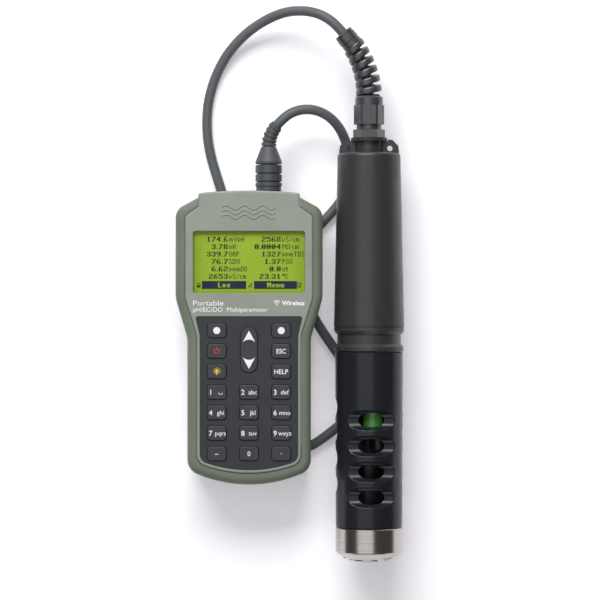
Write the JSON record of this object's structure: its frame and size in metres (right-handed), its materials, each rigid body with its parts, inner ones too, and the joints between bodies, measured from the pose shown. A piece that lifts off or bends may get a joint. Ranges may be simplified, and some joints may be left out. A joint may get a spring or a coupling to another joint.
{
  "type": "water quality probe",
  "caption": "Portable water quality instrument: handheld meter with keypad and display, joined by a cable to a submersible probe with a slotted sensor shield.",
  "frame": {"origin": "centre of the box round the meter and the probe, at the height of the probe's axis", "axes": "+X to the right across the keypad, +Y along both units towards the cable gland, +Z out of the keypad"},
  "size_m": [0.1438, 0.3503, 0.0509],
  "materials": {
    "case_grey_green": "fine moulded texture",
    "bumper_olive": "soft matt",
    "seal_rubber": "matt",
    "steel_screws": "satin",
    "contact_brass": "satin",
    "cell_sleeve": "gloss sleeve",
    "circuit_board": "solder mask",
    "display_panel": "backlit panel",
    "clear_window": "clear",
    "key_panel": "fine matt",
    "key_rubber": "matt",
    "key_caps": "fine matt",
    "socket_plastic": "satin",
    "cable_jacket": "satin jacket",
    "plug_plastic": "satin",
    "plug_rubber": "matt",
    "gland_plastic": "satin",
    "probe_plastic": "satin",
    "shield_plastic": "semi-gloss",
    "ring_steel": "turned, brushed",
    "sensor_plastic": "satin",
    "oxygen_cap": "gloss"
  },
  "bodies": {
    "instrument": {"meter_face": "case_grey_green", "meter_back": "case_grey_green", "meter_bumper": "bumper_olive", "case_seal": "seal_rubber", "case_screws": "steel_screws", "battery_cover": "case_grey_green", "battery_cover_seal": "seal_rubber", "battery_cover_screws": "steel_screws", "battery_contacts": "contact_brass", "batteries": "cell_sleeve", "main_board": "circuit_board", "display_module": "display_panel", "display_window": "clear_window", "keypad_overlay": "key_panel", "keypad_mat": "key_rubber", "probe_socket": "socket_plastic", "cable": "cable_jacket", "cable_lead": "cable_jacket", "plug_body": "plug_plastic", "plug_boot": "plug_rubber", "plug_strain_relief": "plug_rubber", "plug_pins": "contact_brass", "gland_spiral": "gland_plastic", "gland_nut": "gland_plastic", "gland_body": "gland_plastic", "gland_washer": "seal_rubber", "gland_seal": "seal_rubber", "top_cap": "probe_plastic", "probe_tube": "probe_plastic", "probe_board": "circuit_board", "probe_base": "probe_plastic", "base_seal": "seal_rubber", "shield_seal": "seal_rubber", "ph_sensor": "sensor_plastic", "do_sensor": "sensor_plastic", "do_cap": "oxygen_cap", "ec_sensor": "sensor_plastic", "temperature_pin": "ring_steel"},
    "key_soft_left_body": {"key_soft_left": "key_caps"},
    "key_soft_right_body": {"key_soft_right": "key_caps"},
    "key_power_body": {"key_power": "key_caps"},
    "key_escape_body": {"key_escape": "key_caps"},
    "key_light_body": {"key_light": "key_caps"},
    "key_help_body": {"key_help": "key_caps"},
    "key_1_body": {"key_1": "key_caps"},
    "key_2_body": {"key_2": "key_caps"},
    "key_3_body": {"key_3": "key_caps"},
    "key_4_body": {"key_4": "key_caps"},
    "key_5_body": {"key_5": "key_caps"},
    "key_6_body": {"key_6": "key_caps"},
    "key_7_body": {"key_7": "key_caps"},
    "key_8_body": {"key_8": "key_caps"},
    "key_9_body": {"key_9": "key_caps"},
    "key_minus_body": {"key_minus": "key_caps"},
    "key_0_body": {"key_0": "key_caps"},
    "key_point_body": {"key_point": "key_caps"},
    "key_arrows_body": {"key_arrows": "key_caps"},
    "plug_lock_ring_body": {"plug_lock_ring": "plug_plastic"},
    "shield_body": {"shield": "shield_plastic", "weight_ring": "ring_steel"}
  },
  "joints": [
    {"name": "key_soft_left_press", "type": "slide", "parent": "instrument", "child": "key_soft_left_body", "axis": [0, 0, -1], "range_m": [0, 0.0007], "stiffness_N_per_m": 400},
    {"name": "key_soft_right_press", "type": "slide", "parent": "instrument", "child": "key_soft_right_body", "axis": [0, 0, -1], "range_m": [0, 0.0007], "stiffness_N_per_m": 400},
    {"name": "key_power_press", "type": "slide", "parent": "instrument", "child": "key_power_body", "axis": [0, 0, -1], "range_m": [0, 0.0007], "stiffness_N_per_m": 400},
    {"name": "key_escape_press", "type": "slide", "parent": "instrument", "child": "key_escape_body", "axis": [0, 0, -1], "range_m": [0, 0.0007], "stiffness_N_per_m": 400},
    {"name": "key_light_press", "type": "slide", "parent": "instrument", "child": "key_light_body", "axis": [0, 0, -1], "range_m": [0, 0.0007], "stiffness_N_per_m": 400},
    {"name": "key_help_press", "type": "slide", "parent": "instrument", "child": "key_help_body", "axis": [0, 0, -1], "range_m": [0, 0.0007], "stiffness_N_per_m": 400},
    {"name": "key_1_press", "type": "slide", "parent": "instrument", "child": "key_1_body", "axis": [0, 0, -1], "range_m": [0, 0.0007], "stiffness_N_per_m": 400},
    {"name": "key_2_press", "type": "slide", "parent": "instrument", "child": "key_2_body", "axis": [0, 0, -1], "range_m": [0, 0.0007], "stiffness_N_per_m": 400},
    {"name": "key_3_press", "type": "slide", "parent": "instrument", "child": "key_3_body", "axis": [0, 0, -1], "range_m": [0, 0.0007], "stiffness_N_per_m": 400},
    {"name": "key_4_press", "type": "slide", "parent": "instrument", "child": "key_4_body", "axis": [0, 0, -1], "range_m": [0, 0.0007], "stiffness_N_per_m": 400},
    {"name": "key_5_press", "type": "slide", "parent": "instrument", "child": "key_5_body", "axis": [0, 0, -1], "range_m": [0, 0.0007], "stiffness_N_per_m": 400},
    {"name": "key_6_press", "type": "slide", "parent": "instrument", "child": "key_6_body", "axis": [0, 0, -1], "range_m": [0, 0.0007], "stiffness_N_per_m": 400},
    {"name": "key_7_press", "type": "slide", "parent": "instrument", "child": "key_7_body", "axis": [0, 0, -1], "range_m": [0, 0.0007], "stiffness_N_per_m": 400},
    {"name": "key_8_press", "type": "slide", "parent": "instrument", "child": "key_8_body", "axis": [0, 0, -1], "range_m": [0, 0.0007], "stiffness_N_per_m": 400},
    {"name": "key_9_press", "type": "slide", "parent": "instrument", "child": "key_9_body", "axis": [0, 0, -1], "range_m": [0, 0.0007], "stiffness_N_per_m": 400},
    {"name": "key_minus_press", "type": "slide", "parent": "instrument", "child": "key_minus_body", "axis": [0, 0, -1], "range_m": [0, 0.0007], "stiffness_N_per_m": 400},
    {"name": "key_0_press", "type": "slide", "parent": "instrument", "child": "key_0_body", "axis": [0, 0, -1], "range_m": [0, 0.0007], "stiffness_N_per_m": 400},
    {"name": "key_point_press", "type": "slide", "parent": "instrument", "child": "key_point_body", "axis": [0, 0, -1], "range_m": [0, 0.0007], "stiffness_N_per_m": 400},
    {"name": "key_arrows_rock", "type": "hinge", "parent": "instrument", "child": "key_arrows_body", "pos_m": [-0.0255, -0.0355, 0.01145], "axis": [1, 0, 0], "range_deg": [-2.5, 2.5], "stiffness_Nm_per_rad": 0.1},
    {"name": "plug_lock_ring_turn", "type": "hinge", "parent": "instrument", "child": "plug_lock_ring_body", "pos_m": [-0.0133, 0.0742, -0.00415], "axis": [0, 1, 0], "range_deg": [0, 360]},
    {"name": "shield_off", "type": "slide", "parent": "instrument", "child": "shield_body", "axis": [0, -1, 0], "range_m": [0, 0.13]}
  ]
}
